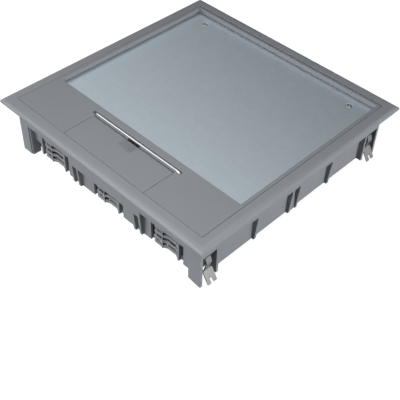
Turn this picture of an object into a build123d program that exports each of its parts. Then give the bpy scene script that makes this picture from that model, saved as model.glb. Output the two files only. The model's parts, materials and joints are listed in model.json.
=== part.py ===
from build123d import *
import os

# Square floor socket box for a raised floor, in millimetres.
# Z is up and the feet stand at Z 0. The cable flap and the pull handle are on the -Y side, the hinge on +Y.

os.makedirs("parts", exist_ok=True)

# Floor frame
FRAME_WIDTH = 264.0
HEIGHT = 61.0
CUTOUT_WIDTH = 244.0
CUTOUT_GAP = 0.7
FLANGE_THICK = 4.8
EDGE_THICK = 2.0
BEVEL_RUN = 6.5
SKIRT_WALL = 2.5
COLLAR_DEPTH = 21.7
LEDGE_THICK = 2.0
APRON_DROP = 6.5
APRON_WIDTH = 96.0
WALL_SETBACK = 5.3
WALL_THICK = 2.5
WALL_BOTTOM = 4.5
WINDOW_WIDTH = 39.5
WINDOW_PITCH = 76.0
RIB_THICK = 2.5
RIB_PAIR_PITCH = 8.0
RIB_PAIR_CENTRE = 42.0
SIDE_RIB_Y = 51.0
SIDE_PAIR_PITCH = 10.0
RIB_TAPER = 2.6
RIB_ROUND = 1.2

# Corner clamp bays and feet
WEB_THICK = 2.0
BAY_DEPTH = 12.3
BAY_LENGTH = 16.1
SHELF_THICK = 3.0
SHELF_DROP = 10.2
POST_STEP = 1.0
FOOT_RUN = 10.5
FOOT_RISE = 8.5
NOTCH_TOP = 17.0

# Lid, its plate and its hinge
LID_WIDTH = 240.0
LID_THICK = 4.0
LID_GAP = 0.35
HINGE_ROOM = 0.3
SEAT_GAP = 0.2
RECESS_SIDE = 3.5
RECESS_BACK = 4.0
RECESS_FRONT_Y = -72.0
PLATE_DROP = 5.0
PLATE_THICK = 1.5
PLATE_GAP = 0.2
TRAY_FLOOR = 2.0
TRAY_WALL = 1.5
LID_RIB_THICK = 1.6
LID_RIB_DROP = 5.0
LID_RIB_X = 52.0
LID_RIB_Y = 55.0
PLATE_SCREW_X = 95.7
PLATE_SCREW_Y = 102.5
PLATE_SCREW_R = 1.95
PLATE_HEAD_R = 3.9
TONGUE_WIDTH = 20.0
TONGUE_X = 48.0
TONGUE_LENGTH = 1.2
PIN_R = 0.9
PIN_PLAY = 0.05
PIN_GRIP = 5.0

# Cable flap
FLAP_WIDTH = 104.0
FLAP_REAR_Y = -84.5
FLAP_GAP = 0.4
FLAP_SKIN = 2.4
FLAP_RIM = 4.0
LEDGE_WIDTH = 3.0
DISH_WIDTH = 16.0
DISH_LENGTH = 11.0
DISH_DEPTH = 2.0
DISH_LIP = 0.3

# Pull handle of bent wire
WIRE_R = 1.5
BAIL_Y = -81.0
BAIL_LEG_X = 55.5
BAIL_BEND = 3.5
BAIL_SINK = 1.6
BAIL_ROOM = 0.8
GROOVE_SIDE = 0.5
GROOVE_UNDER = 0.3
BEAM_WIDTH = 128.0
BEAM_DROP = 4.5
CLIP_R = 3.5
CLIP_THICK = 2.0
BAIL_PLAY = 0.05

# Height ladders, clipped into the windows
LADDER_WIDTH = 30.0
BAR_PITCH = 6.3
BAR_HEIGHT = 3.0
BAR_DEPTH = 2.0
LADDER_SETBACK = 4.8
BOW_DEPTH = 2.2
BOW_RUN = 5.0
RAIL_WIDTH = 2.0
DIVIDER_X = -6.0
DIVIDER_WIDTH = 1.4
TAB_WIDTH = 45.5
TAB_HEIGHT = 4.3
LADDER_BOTTOM = 5.0

# Device trays and their 45 mm inserts
BOX_WIDTH = 60.0
BOX_DEPTH = 24.0
BOX_WALL = 2.0
BOX_END_GAP = 1.8
FACE_HEIGHT = 29.0
INSERT_COUNT = 4
INSERT_PITCH = 48.0
INSERT_BODY = 44.8
INSERT_FACE = 46.6
INSERT_LIP = 1.0
INSERT_DEPTH = 20.0
INSERT_GAP = 0.2
WELL_R = 19.3
WELL_DEPTH = 17.5
PIN_HOLE_R = 2.5
PIN_HOLE_SIDES = 12
PIN_HOLE_SPACING = 19.0
PORT_WIDTH = 14.6
PORT_LENGTH = 12.6
PORT_DEPTH = 13.0
EARTH_WIDTH = 5.0
EARTH_THICK = 1.4
EARTH_HEIGHT = 11.0
ARM_WIDTH = 5.0
ARM_THICK = 2.4
ARM_REST = 0.2
ARM_X = (-9.5, 4.5)
CABLE_ENTRY_WIDTH = 12.0
CABLE_ENTRY_LENGTH = 7.0

# Corner clamps
SCREW_SETBACK = 8.1
SCREW_R = 2.0
SCREW_HEAD_R = 3.6
SCREW_HEAD_HEIGHT = 2.6
SCREW_END = 4.0
SCREW_PLAY = 0.05
NUT_WIDTH = 6.2
NUT_HEIGHT = 6.0
CLAW_PIN_SETBACK = 6.7
CLAW_PIN_DROP = 6.0
CLAW_PIN_R = 1.0
CLAW_EYE_R = 2.2
CLAW_THICK = 1.6
CLAW_WIDTH = 10.4
CLAW_WAIST = 6.0
CLAW_SLOT = 5.2
KNEE_SETBACK = 1.0
KNEE_DROP = 16.0
HEEL_SETBACK = 3.1
HEEL_DROP = 9.5
TOE_REACH = 3.7
TOE_HEIGHT = 3.0
CLAW_TOOTH_GAP = 3.0
CLAW_TOOTH_LENGTH = 4.0

# Places worked out from the sizes above
HALF = FRAME_WIDTH / 2
SKIRT = CUTOUT_WIDTH / 2 - CUTOUT_GAP
SKIRT_IN = SKIRT - SKIRT_WALL
FLANGE_UNDER = HEIGHT - FLANGE_THICK
EDGE_TOP = FLANGE_UNDER + EDGE_THICK
COLLAR_BOTTOM = FLANGE_UNDER - COLLAR_DEPTH
LEDGE_TOP = COLLAR_BOTTOM + LEDGE_THICK
APRON_BOTTOM = COLLAR_BOTTOM - APRON_DROP
WALL_OUT = SKIRT - WALL_SETBACK
WALL_IN = WALL_OUT - WALL_THICK
LID_HALF = LID_WIDTH / 2
OPENING = LID_HALF + LID_GAP
LID_UNDER = HEIGHT - LID_THICK
SHOULDER = LID_UNDER - SEAT_GAP
HINGE_Z = HEIGHT - LID_THICK / 2
HINGE_Y = LID_HALF - HINGE_ROOM - LID_THICK / 2
BAY_X = SKIRT - BAY_DEPTH
WEB_X = BAY_X - WEB_THICK
BAY_Y = SKIRT_IN - BAY_LENGTH
BAY_RIB_Y = BAY_Y - RIB_THICK
SHELF_TOP = FLANGE_UNDER - SHELF_DROP
SHELF_UNDER = SHELF_TOP - SHELF_THICK
RECESS_X = LID_HALF - RECESS_SIDE
RECESS_Y = LID_HALF - RECESS_BACK
PLATE_TOP = HEIGHT - PLATE_DROP
RECESS_FLOOR = PLATE_TOP - PLATE_THICK
TRAY_UNDER = RECESS_FLOOR - TRAY_FLOOR
LID_RIB_UNDER = TRAY_UNDER - LID_RIB_DROP
TRAY_FRONT_Y = RECESS_FRONT_Y - TRAY_WALL
TRAY_BACK_Y = RECESS_Y + TRAY_WALL
FLAP_HALF = FLAP_WIDTH / 2
FLAP_HINGE_Y = FLAP_REAR_Y - LID_THICK / 2
BAIL_Z = HEIGHT - BAIL_SINK
GROOVE_FLOOR = BAIL_Z - WIRE_R - GROOVE_UNDER
BEAM_UNDER = LID_UNDER - BEAM_DROP
LADDER_Y = -(SKIRT - LADDER_SETBACK)
LADDER_TOP = COLLAR_BOTTOM
FIRST_BAR = LADDER_BOTTOM + 1.0
BAR_COUNT = int((LADDER_TOP - FIRST_BAR) / BAR_PITCH) + 1
ARM_BAR_TOP = FIRST_BAR + BAR_PITCH + BAR_HEIGHT
ARM_BOTTOM = ARM_BAR_TOP + ARM_REST
BOX_END = -LADDER_Y - BOW_DEPTH - BAR_DEPTH - BOX_END_GAP
BOX_BOTTOM = FACE_HEIGHT - BOX_DEPTH
COVER_UNDER = FACE_HEIGHT - BOX_WALL
INSERT_TOP = FACE_HEIGHT + INSERT_LIP
INSERT_BOTTOM = INSERT_TOP - INSERT_DEPTH - INSERT_LIP
WELL_FLOOR = INSERT_TOP - WELL_DEPTH
BAIL_LEG_END = INSERT_TOP + BAIL_ROOM
FIRST_INSERT_Y = -(INSERT_COUNT - 1) * INSERT_PITCH / 2
SCREW_X = SKIRT - SCREW_SETBACK
SCREW_Y = SKIRT_IN - BAY_LENGTH / 2
CLAW_PIN_X = SKIRT - CLAW_PIN_SETBACK
CLAW_PIN_Z = SHELF_TOP - CLAW_PIN_DROP
KNEE_Z = CLAW_PIN_Z - KNEE_DROP
HEEL_X = SKIRT - HEEL_SETBACK
HEEL_Z = KNEE_Z - HEEL_DROP

CORNERS = [(-1, -1), (1, -1), (-1, 1), (1, 1)]
CORNER_NAMES = {(-1, -1): "front_left", (1, -1): "front_right", (-1, 1): "back_left", (1, 1): "back_right"}
WINDOWS = {"left": -WINDOW_PITCH, "middle": 0.0, "right": WINDOW_PITCH}


def save(shape, name):
    """Label a finished piece and write it to its own file."""
    shape.label = name
    export_step(shape, f"parts/{name}.step")


def block(x, y, z, mode=Mode.ADD):
    """A box in the current part, given by its lowest and highest place on each axis."""
    size = [abs(b - a) for a, b in (x, y, z)]
    middle = [(a + b) / 2 for a, b in (x, y, z)]
    with Locations(tuple(middle)):
        Box(*size, mode=mode)


def flange_profile(plane):
    """Half-pillow outline of the flange: flat in the middle, rounded down to a thin edge."""
    flat = HALF - BEVEL_RUN
    with BuildSketch(plane) as profile:
        with BuildLine():
            Polyline((-HALF, EDGE_TOP), (-HALF, FLANGE_UNDER), (HALF, FLANGE_UNDER), (HALF, EDGE_TOP))
            TangentArc((flat, HEIGHT), (HALF, EDGE_TOP), tangent=(1, 0))
            Line((flat, HEIGHT), (-flat, HEIGHT))
            TangentArc((-flat, HEIGHT), (-HALF, EDGE_TOP), tangent=(-1, 0))
        make_face()
    return profile.sketch


def rib_profile(plane):
    """Side outline of a rib on a wall: as deep as the skirt at the top, less so at its rounded tip."""
    with BuildSketch(plane) as profile:
        Polygon((WALL_OUT, WALL_BOTTOM), (SKIRT - RIB_TAPER, WALL_BOTTOM), (SKIRT, COLLAR_BOTTOM),
                (WALL_OUT, COLLAR_BOTTOM), align=None)
        tip = profile.vertices().group_by(Axis.Y)[0].sort_by(Axis.X)[-1]
        fillet(tip, RIB_ROUND)
    return profile.sketch


def rounded_back_profile(front, hinge):
    """Side outline of a flat panel whose rear edge is a half round about its hinge line."""
    with BuildSketch(Plane.YZ) as profile:
        with BuildLine():
            Polyline((hinge, HEIGHT), (front, HEIGHT), (front, LID_UNDER), (hinge, LID_UNDER))
            ThreePointArc((hinge, LID_UNDER), (hinge + LID_THICK / 2, HINGE_Z), (hinge, HEIGHT))
        make_face()
    return profile.sketch


# Floor frame: flange, skirt, recessed walls with windows, ribs, posts and clamp bays in one moulding
with BuildPart() as floor_frame:
    extrude(flange_profile(Plane.XZ), amount=HALF, both=True)
    extrude(flange_profile(Plane.YZ), amount=HALF, both=True, mode=Mode.INTERSECT)
    with BuildSketch(Plane.XY.offset(COLLAR_BOTTOM)):
        Rectangle(2 * SKIRT, 2 * SKIRT)
    extrude(amount=FLANGE_UNDER - COLLAR_BOTTOM)
    with BuildSketch(Plane.XY.offset(WALL_BOTTOM)):
        Rectangle(2 * WALL_OUT, 2 * WALL_OUT)
    extrude(amount=COLLAR_BOTTOM - WALL_BOTTOM)
    with BuildSketch(Plane.XY.offset(SHOULDER)):
        Rectangle(2 * OPENING, 2 * OPENING)
    extrude(amount=HEIGHT - SHOULDER, mode=Mode.SUBTRACT)
    with BuildSketch(Plane.XY.offset(LEDGE_TOP)):
        Rectangle(2 * SKIRT_IN, 2 * SKIRT_IN)
    extrude(amount=SHOULDER - LEDGE_TOP, mode=Mode.SUBTRACT)
    with BuildSketch(Plane.XY.offset(WALL_BOTTOM)):
        Rectangle(2 * WALL_IN, 2 * WALL_IN)
    extrude(amount=LEDGE_TOP - WALL_BOTTOM, mode=Mode.SUBTRACT)

    # Corner bays for the clamps, open outwards and downwards, under a shelf
    for sx, sy in CORNERS:
        block((sx * WEB_X, sx * SKIRT_IN), (sy * BAY_RIB_Y, sy * SKIRT_IN), (WALL_BOTTOM, SHELF_TOP))
        block((sx * BAY_X, sx * SKIRT_IN), (sy * BAY_Y, sy * SKIRT_IN), (WALL_BOTTOM, SHELF_UNDER),
              mode=Mode.SUBTRACT)
        block((sx * SKIRT_IN, sx * SKIRT), (sy * BAY_RIB_Y, sy * BAY_Y), (WALL_BOTTOM, COLLAR_BOTTOM))
        if sx * sy > 0:
            # Square foot: the web stands a step behind the post and goes down with it
            block((sx * BAY_X, sx * SKIRT), (sy * SKIRT_IN, sy * SKIRT), (0, COLLAR_BOTTOM))
            block((sx * WEB_X, sx * BAY_X), (sy * (WALL_IN - BAR_DEPTH), sy * (SKIRT - POST_STEP)),
                  (0, COLLAR_BOTTOM))
            block((sx * (WINDOW_PITCH + WINDOW_WIDTH / 2 + RIB_THICK), sx * WEB_X),
                  (sy * WALL_IN, sy * WALL_OUT), (WALL_BOTTOM, NOTCH_TOP), mode=Mode.SUBTRACT)
        else:
            # Sloped foot: a wider post whose inner lower corner is cut off
            block((sx * WEB_X, sx * SKIRT), (sy * SKIRT_IN, sy * SKIRT), (0, COLLAR_BOTTOM))
            with BuildSketch(Plane.XZ.offset(-sy * SKIRT)):
                Polygon((sx * WEB_X, 0), (sx * (WEB_X + FOOT_RUN), 0), (sx * WEB_X, FOOT_RISE), align=None)
            extrude(amount=sy * SKIRT_WALL, mode=Mode.SUBTRACT)

    # Front and back: windows and the deeper apron
    for sy in (-1, 1):
        for x in WINDOWS.values():
            block((x - WINDOW_WIDTH / 2, x + WINDOW_WIDTH / 2), (sy * WALL_IN, sy * WALL_OUT),
                  (WALL_BOTTOM, COLLAR_BOTTOM), mode=Mode.SUBTRACT)
        block((-APRON_WIDTH / 2, APRON_WIDTH / 2), (sy * SKIRT_IN, sy * SKIRT),
              (APRON_BOTTOM, COLLAR_BOTTOM))

    # Tapered ribs: pairs between the windows, and single ribs and a middle pair on each side
    front_ribs = [a * RIB_PAIR_CENTRE + b * RIB_PAIR_PITCH / 2 for a in (-1, 1) for b in (-1, 1)]
    side_ribs = [-SIDE_RIB_Y, -SIDE_PAIR_PITCH / 2, SIDE_PAIR_PITCH / 2, SIDE_RIB_Y]
    for turn, places in ((0, side_ribs), (90, front_ribs), (180, side_ribs), (270, front_ribs)):
        for place in places:
            plane = Plane.XZ.rotated((0, 0, turn)).offset(place)
            extrude(rib_profile(plane), amount=RIB_THICK / 2, both=True)

    # Ramp between the two ribs of each side's middle pair
    for turn in (0, 180):
        with BuildSketch(Plane.XZ.rotated((0, 0, turn))):
            Polygon((WALL_OUT, WALL_BOTTOM), (SKIRT - RIB_TAPER - RIB_ROUND, WALL_BOTTOM),
                    (WALL_OUT, COLLAR_BOTTOM), align=None)
        extrude(amount=SIDE_PAIR_PITCH / 2, both=True)

    # Holes for the lid's hinge pins, the clamp screws and the claw pins
    for sx in (-1, 1):
        with Locations(Location((sx * (OPENING + PIN_GRIP / 2), HINGE_Y, HINGE_Z), (0, 90, 0))):
            Cylinder(PIN_R, PIN_GRIP, mode=Mode.SUBTRACT)
    with Locations(*[(sx * SCREW_X, sy * SCREW_Y, SHELF_TOP - SHELF_THICK / 2) for sx, sy in CORNERS]):
        Cylinder(SCREW_R + SCREW_PLAY, SHELF_THICK, mode=Mode.SUBTRACT)
    for sx, sy in CORNERS:
        with Locations(Location((sx * CLAW_PIN_X, sy * (SKIRT_IN + BAY_Y) / 2, CLAW_PIN_Z), (90, 0, 0))):
            Cylinder(CLAW_PIN_R, BAY_LENGTH + SKIRT_WALL, mode=Mode.SUBTRACT)
save(floor_frame.part, "floor_frame")

# Lid: flat slab with a rounded hinge edge, a recessed tray for the plate and ribs under it
with BuildPart() as lid:
    extrude(rounded_back_profile(-LID_HALF, HINGE_Y), amount=LID_HALF, both=True)
    block((-RECESS_X - TRAY_WALL, RECESS_X + TRAY_WALL), (TRAY_FRONT_Y, TRAY_BACK_Y),
          (TRAY_UNDER, LID_UNDER))
    block((-BEAM_WIDTH / 2, BEAM_WIDTH / 2), (FLAP_REAR_Y + FLAP_GAP, TRAY_FRONT_Y), (BEAM_UNDER, LID_UNDER))
    with BuildSketch(Plane.XY.offset(LID_RIB_UNDER)):
        with GridLocations(LID_RIB_X, 0, 4, 1):
            with Locations((0, (TRAY_FRONT_Y + TRAY_BACK_Y) / 2)):
                Rectangle(LID_RIB_THICK, TRAY_BACK_Y - TRAY_FRONT_Y - 2 * LID_RIB_DROP)
        with Locations((0, (TRAY_FRONT_Y + TRAY_BACK_Y) / 2)):
            with GridLocations(0, LID_RIB_Y, 1, 3):
                Rectangle(2 * RECESS_X - 2 * LID_RIB_DROP, LID_RIB_THICK)
        with Locations((-PLATE_SCREW_X, PLATE_SCREW_Y), (PLATE_SCREW_X, PLATE_SCREW_Y)):
            Circle(PLATE_HEAD_R)
    extrude(amount=LID_RIB_DROP)
    block((-RECESS_X, RECESS_X), (RECESS_FRONT_Y, RECESS_Y), (RECESS_FLOOR, HEIGHT), mode=Mode.SUBTRACT)
    for x in (-TONGUE_X, TONGUE_X):
        reach = TONGUE_WIDTH / 2 + PLATE_GAP
        block((x - reach, x + reach), (RECESS_FRONT_Y - TONGUE_LENGTH - PLATE_GAP, RECESS_FRONT_Y),
              (RECESS_FLOOR, PLATE_TOP + PLATE_GAP), mode=Mode.SUBTRACT)
    boss_middle = (LID_RIB_UNDER + RECESS_FLOOR) / 2
    with Locations(*[(sx * PLATE_SCREW_X, PLATE_SCREW_Y, boss_middle) for sx in (-1, 1)]):
        Cylinder(PLATE_SCREW_R, RECESS_FLOOR - LID_RIB_UNDER, mode=Mode.SUBTRACT)

    # Cable outlet at the front edge, with a narrow seat for the flap on each side
    outlet_half = FLAP_HALF + FLAP_GAP
    block((-outlet_half, outlet_half), (-LID_HALF, FLAP_REAR_Y + FLAP_GAP), (LID_UNDER, HEIGHT),
          mode=Mode.SUBTRACT)
    for sx in (-1, 1):
        block((sx * (outlet_half - LEDGE_WIDTH), sx * (outlet_half + LEDGE_WIDTH)),
              (-SKIRT_IN + LID_GAP, FLAP_HINGE_Y - LID_THICK), (SHOULDER - LEDGE_THICK, SHOULDER))
        block((sx * outlet_half, sx * (outlet_half + LEDGE_WIDTH)),
              (-SKIRT_IN + LID_GAP, FLAP_HINGE_Y - LID_THICK), (SHOULDER, LID_UNDER))

    # Groove, end pockets and leg holes of the pull handle, and the finger notch under it
    groove = WIRE_R + GROOVE_SIDE
    pocket_x = BAIL_LEG_X + WIRE_R + GROOVE_SIDE
    block((-pocket_x, pocket_x), (BAIL_Y - groove, BAIL_Y + groove), (GROOVE_FLOOR, HEIGHT),
          mode=Mode.SUBTRACT)
    for sx in (-1, 1):
        block((sx * (BAIL_LEG_X - BAIL_BEND), sx * pocket_x), (BAIL_Y - groove, BAIL_Y + groove),
              (BAIL_Z - BAIL_BEND - GROOVE_UNDER, HEIGHT), mode=Mode.SUBTRACT)
    leg_hole = BAIL_Z - BAIL_BEND - BEAM_UNDER
    with Locations(*[(sx * BAIL_LEG_X, BAIL_Y, BEAM_UNDER + leg_hole / 2) for sx in (-1, 1)]):
        Cylinder(WIRE_R + BAIL_PLAY, leg_hole, mode=Mode.SUBTRACT)
    block((-DISH_WIDTH / 2, DISH_WIDTH / 2), (FLAP_REAR_Y + FLAP_GAP, BAIL_Y + groove),
          (BEAM_UNDER, HEIGHT), mode=Mode.SUBTRACT)

    # Pin holes of the lid's own hinge and of the flap's hinge
    for sx in (-1, 1):
        with Locations(Location((sx * (LID_HALF - PIN_GRIP / 2), HINGE_Y, HINGE_Z), (0, 90, 0))):
            Cylinder(PIN_R + PIN_PLAY, PIN_GRIP, mode=Mode.SUBTRACT)
        with Locations(Location((sx * (outlet_half + PIN_GRIP / 2), FLAP_HINGE_Y, HINGE_Z), (0, 90, 0))):
            Cylinder(PIN_R, PIN_GRIP, mode=Mode.SUBTRACT)
save(lid.part, "lid")

# Galvanised plate in the lid's recess, held by two tongues at the front and two screws at the back
with BuildPart() as lid_plate:
    with BuildSketch(Plane.XY.offset(RECESS_FLOOR)):
        with Locations((0, (RECESS_FRONT_Y + RECESS_Y) / 2)):
            RectangleRounded(2 * (RECESS_X - PLATE_GAP), RECESS_Y - RECESS_FRONT_Y - 2 * PLATE_GAP,
                             PLATE_THICK)
        with Locations((-TONGUE_X, RECESS_FRONT_Y), (TONGUE_X, RECESS_FRONT_Y)):
            Rectangle(TONGUE_WIDTH, 2 * TONGUE_LENGTH)
    extrude(amount=PLATE_THICK)
    with Locations(*[(sx * PLATE_SCREW_X, PLATE_SCREW_Y, PLATE_TOP) for sx in (-1, 1)]):
        CounterSinkHole(PLATE_SCREW_R, PLATE_HEAD_R, depth=PLATE_THICK, counter_sink_angle=120)
save(lid_plate.part, "lid_plate")

# The plate's two countersunk screws
with BuildPart() as plate_screws:
    sink = (PLATE_HEAD_R - PLATE_SCREW_R) / 1.7320508
    with BuildSketch(Plane.XZ):
        Polygon((0, LID_RIB_UNDER), (PLATE_SCREW_R, LID_RIB_UNDER), (PLATE_SCREW_R, PLATE_TOP - sink),
                (PLATE_HEAD_R, PLATE_TOP), (0, PLATE_TOP), align=None)
    revolve(axis=Axis.Z)
    block((-PLATE_HEAD_R, PLATE_HEAD_R), (-0.5, 0.5), (PLATE_TOP - 0.9, PLATE_TOP), mode=Mode.SUBTRACT)
screw_pair = Compound(children=[plate_screws.part.moved(Location((sx * PLATE_SCREW_X, PLATE_SCREW_Y, 0)))
                                for sx in (-1, 1)])
save(screw_pair, "plate_screws")

# Hinge pins of the lid, pressed into the frame
with BuildPart() as lid_pins:
    for sx in (-1, 1):
        with Locations(Location((sx * OPENING, HINGE_Y, HINGE_Z), (0, 90, 0))):
            Cylinder(PIN_R, 2 * (PIN_GRIP - LID_GAP))
save(lid_pins.part, "lid_pins")

# Cable flap, hinged at its rear edge, with a thumb dish that ramps down towards the pull handle
with BuildPart() as cable_flap:
    extrude(rounded_back_profile(-LID_HALF, FLAP_HINGE_Y), amount=FLAP_HALF, both=True)
    pocket_length = FLAP_HINGE_Y - LID_THICK + LID_HALF - 2 * FLAP_RIM
    with BuildSketch(Plane.XY.offset(LID_UNDER)):
        with Locations((0, (FLAP_HINGE_Y - LID_THICK - LID_HALF) / 2)):
            with GridLocations(FLAP_HALF - FLAP_RIM / 2, 0, 2, 1):
                Rectangle(FLAP_HALF - 1.5 * FLAP_RIM, pocket_length)
    extrude(amount=LID_THICK - FLAP_SKIN, mode=Mode.SUBTRACT)
    with BuildSketch(Plane.YZ):
        Polygon((FLAP_REAR_Y - DISH_LENGTH, HEIGHT - DISH_LIP), (FLAP_REAR_Y, HEIGHT - DISH_DEPTH),
                (FLAP_REAR_Y, HEIGHT), (FLAP_REAR_Y - DISH_LENGTH, HEIGHT), align=None)
    extrude(amount=DISH_WIDTH / 2, both=True, mode=Mode.SUBTRACT)
    for sx in (-1, 1):
        with Locations(Location((sx * (FLAP_HALF - PIN_GRIP / 2), FLAP_HINGE_Y, HINGE_Z), (0, 90, 0))):
            Cylinder(PIN_R + PIN_PLAY, PIN_GRIP, mode=Mode.SUBTRACT)
save(cable_flap.part, "cable_flap")

# Hinge pins of the flap, pressed into the lid
with BuildPart() as flap_pins:
    for sx in (-1, 1):
        with Locations(Location((sx * (FLAP_HALF + FLAP_GAP), FLAP_HINGE_Y, HINGE_Z), (0, 90, 0))):
            Cylinder(PIN_R, 2 * (PIN_GRIP - FLAP_GAP))
save(flap_pins.part, "flap_pins")

# Pull handle: one bent wire whose legs slide through the lid
with BuildPart() as bail:
    with BuildLine():
        FilletPolyline((-BAIL_LEG_X, BAIL_Y, BAIL_LEG_END), (-BAIL_LEG_X, BAIL_Y, BAIL_Z),
                       (BAIL_LEG_X, BAIL_Y, BAIL_Z), (BAIL_LEG_X, BAIL_Y, BAIL_LEG_END), radius=BAIL_BEND)
    with BuildSketch(Plane.XY.offset(BAIL_LEG_END)):
        with Locations((-BAIL_LEG_X, BAIL_Y)):
            Circle(WIRE_R)
    sweep()
save(bail.part, "bail")

# Push-on clips that stop the legs under the lid
with BuildPart() as bail_clips:
    with BuildSketch(Plane.XY.offset(BAIL_LEG_END)):
        with Locations((-BAIL_LEG_X, BAIL_Y), (BAIL_LEG_X, BAIL_Y)):
            Circle(CLIP_R)
            Circle(WIRE_R, mode=Mode.SUBTRACT)
    extrude(amount=CLIP_THICK - SEAT_GAP)
save(bail_clips.part, "bail_clips")

# Height ladder: bars with a straight toothed end and a part that bends inwards, on upright rails, with tabs
# behind the wall. The rail at the toothed end stands behind the teeth.
with BuildPart() as ladder:
    rail_left = -LADDER_WIDTH / 2
    rail_right = LADDER_WIDTH / 2
    inner = -WALL_IN + BAR_DEPTH
    block((rail_left, rail_left + RAIL_WIDTH), (LADDER_Y + BAR_DEPTH / 2, inner), (LADDER_BOTTOM, LADDER_TOP))
    for x, width in ((DIVIDER_X, DIVIDER_WIDTH), (rail_right - RAIL_WIDTH, RAIL_WIDTH)):
        block((x, x + width), (LADDER_Y, inner), (LADDER_BOTTOM, LADDER_TOP))
    for n in range(BAR_COUNT):
        start = DIVIDER_X + DIVIDER_WIDTH / 2
        end = rail_right - RAIL_WIDTH / 2
        back = LADDER_Y + BOW_DEPTH
        with BuildSketch(Plane.XY.offset(FIRST_BAR + n * BAR_PITCH)):
            Polygon((start, LADDER_Y), (start + BOW_RUN, back), (end - BOW_RUN, back), (end, LADDER_Y),
                    (end, LADDER_Y + BAR_DEPTH), (end - BOW_RUN, back + BAR_DEPTH),
                    (start + BOW_RUN, back + BAR_DEPTH), (start, LADDER_Y + BAR_DEPTH), align=None)
            with Locations(((rail_left + start) / 2, LADDER_Y + BAR_DEPTH / 2)):
                Rectangle(start - rail_left, BAR_DEPTH)
        extrude(amount=min(BAR_HEIGHT, LADDER_TOP - FIRST_BAR - n * BAR_PITCH))
    block((-TAB_WIDTH / 2, TAB_WIDTH / 2), (-WALL_IN, inner), (LADDER_TOP - TAB_HEIGHT, LADDER_TOP))
    for sx in (-1, 1):
        block((sx * (rail_right - RAIL_WIDTH), sx * TAB_WIDTH / 2), (-WALL_IN, inner),
              (LADDER_BOTTOM, LADDER_BOTTOM + TAB_HEIGHT))
for side, x in WINDOWS.items():
    save(ladder.part.moved(Location((x, 0, 0))), f"ladder_front_{side}")
    save(ladder.part.moved(Location((x, 0, 0), (0, 0, 180))), f"ladder_back_{side}")

# Device tray: a long shallow box, open at the top, with cable entries in its floor and arms that reach between
# the ladder bars
with BuildPart() as device_tray:
    block((-BOX_WIDTH / 2, BOX_WIDTH / 2), (-BOX_END, BOX_END), (BOX_BOTTOM, COVER_UNDER))
    block((-BOX_WIDTH / 2 + BOX_WALL, BOX_WIDTH / 2 - BOX_WALL), (-BOX_END + BOX_WALL, BOX_END - BOX_WALL),
          (BOX_BOTTOM + BOX_WALL, COVER_UNDER), mode=Mode.SUBTRACT)
    with BuildSketch(Plane.XY.offset(BOX_BOTTOM)):
        with GridLocations(BOX_WIDTH / 2, 2 * (BOX_END - BOX_WALL - CABLE_ENTRY_LENGTH), 2, 2):
            Rectangle(CABLE_ENTRY_WIDTH, CABLE_ENTRY_LENGTH)
    extrude(amount=BOX_WALL, mode=Mode.SUBTRACT)
    for sy in (-1, 1):
        for x in ARM_X:
            tip = -LADDER_Y if x < 0 else -LADDER_Y - BAR_DEPTH
            place = -sy * x
            block((place - ARM_WIDTH / 2, place + ARM_WIDTH / 2), (sy * (BOX_END - BOX_WALL), sy * tip),
                  (ARM_BOTTOM, ARM_BOTTOM + ARM_THICK))

# Tray cover: a plate on the tray's walls, with a square opening for each insert
with BuildPart() as tray_cover:
    with BuildSketch(Plane.XY.offset(COVER_UNDER)):
        Rectangle(BOX_WIDTH, 2 * BOX_END)
        with GridLocations(0, INSERT_PITCH, 1, INSERT_COUNT):
            Rectangle(INSERT_BODY + 2 * INSERT_GAP, INSERT_BODY + 2 * INSERT_GAP, mode=Mode.SUBTRACT)
    extrude(amount=BOX_WALL)
for side, x in WINDOWS.items():
    save(device_tray.part.moved(Location((x, 0, 0))), f"device_tray_{side}")
    save(tray_cover.part.moved(Location((x, 0, 0))), f"tray_cover_{side}")

# Power insert: a square face with a round well and two contact holes
with BuildPart() as socket:
    with BuildSketch(Plane.XY.offset(INSERT_BOTTOM)):
        Rectangle(INSERT_BODY, INSERT_BODY)
    extrude(amount=FACE_HEIGHT - INSERT_BOTTOM)
    with BuildSketch(Plane.XY.offset(FACE_HEIGHT)):
        Rectangle(INSERT_FACE, INSERT_FACE)
    extrude(amount=INSERT_LIP)
    with BuildSketch(Plane.XY.offset(WELL_FLOOR)):
        Circle(WELL_R)
    extrude(amount=WELL_DEPTH, mode=Mode.SUBTRACT)
    with BuildSketch(Plane.XY.offset(INSERT_BOTTOM)):
        with GridLocations(PIN_HOLE_SPACING, 0, 2, 1):
            RegularPolygon(PIN_HOLE_R, PIN_HOLE_SIDES)
    extrude(amount=WELL_FLOOR - INSERT_BOTTOM, mode=Mode.SUBTRACT)

# Data insert: the same square face with two ports
with BuildPart() as data_outlet:
    with BuildSketch(Plane.XY.offset(INSERT_BOTTOM)):
        Rectangle(INSERT_BODY, INSERT_BODY)
    extrude(amount=FACE_HEIGHT - INSERT_BOTTOM)
    with BuildSketch(Plane.XY.offset(FACE_HEIGHT)):
        Rectangle(INSERT_FACE, INSERT_FACE)
    extrude(amount=INSERT_LIP)
    with BuildSketch(Plane.XY.offset(INSERT_TOP)):
        with GridLocations(INSERT_BODY / 2, 0, 2, 1):
            Rectangle(PORT_WIDTH, PORT_LENGTH)
    extrude(amount=-PORT_DEPTH, mode=Mode.SUBTRACT)
INSERT_Y = [FIRST_INSERT_Y + n * INSERT_PITCH for n in range(INSERT_COUNT)]
for side, x in WINDOWS.items():
    for n, y in enumerate(INSERT_Y[:-1]):
        save(socket.part.moved(Location((x, y, 0))), f"socket_{side}_{n + 1}")
    save(data_outlet.part.moved(Location((x, INSERT_Y[-1], 0))), f"data_outlet_{side}")

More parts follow.
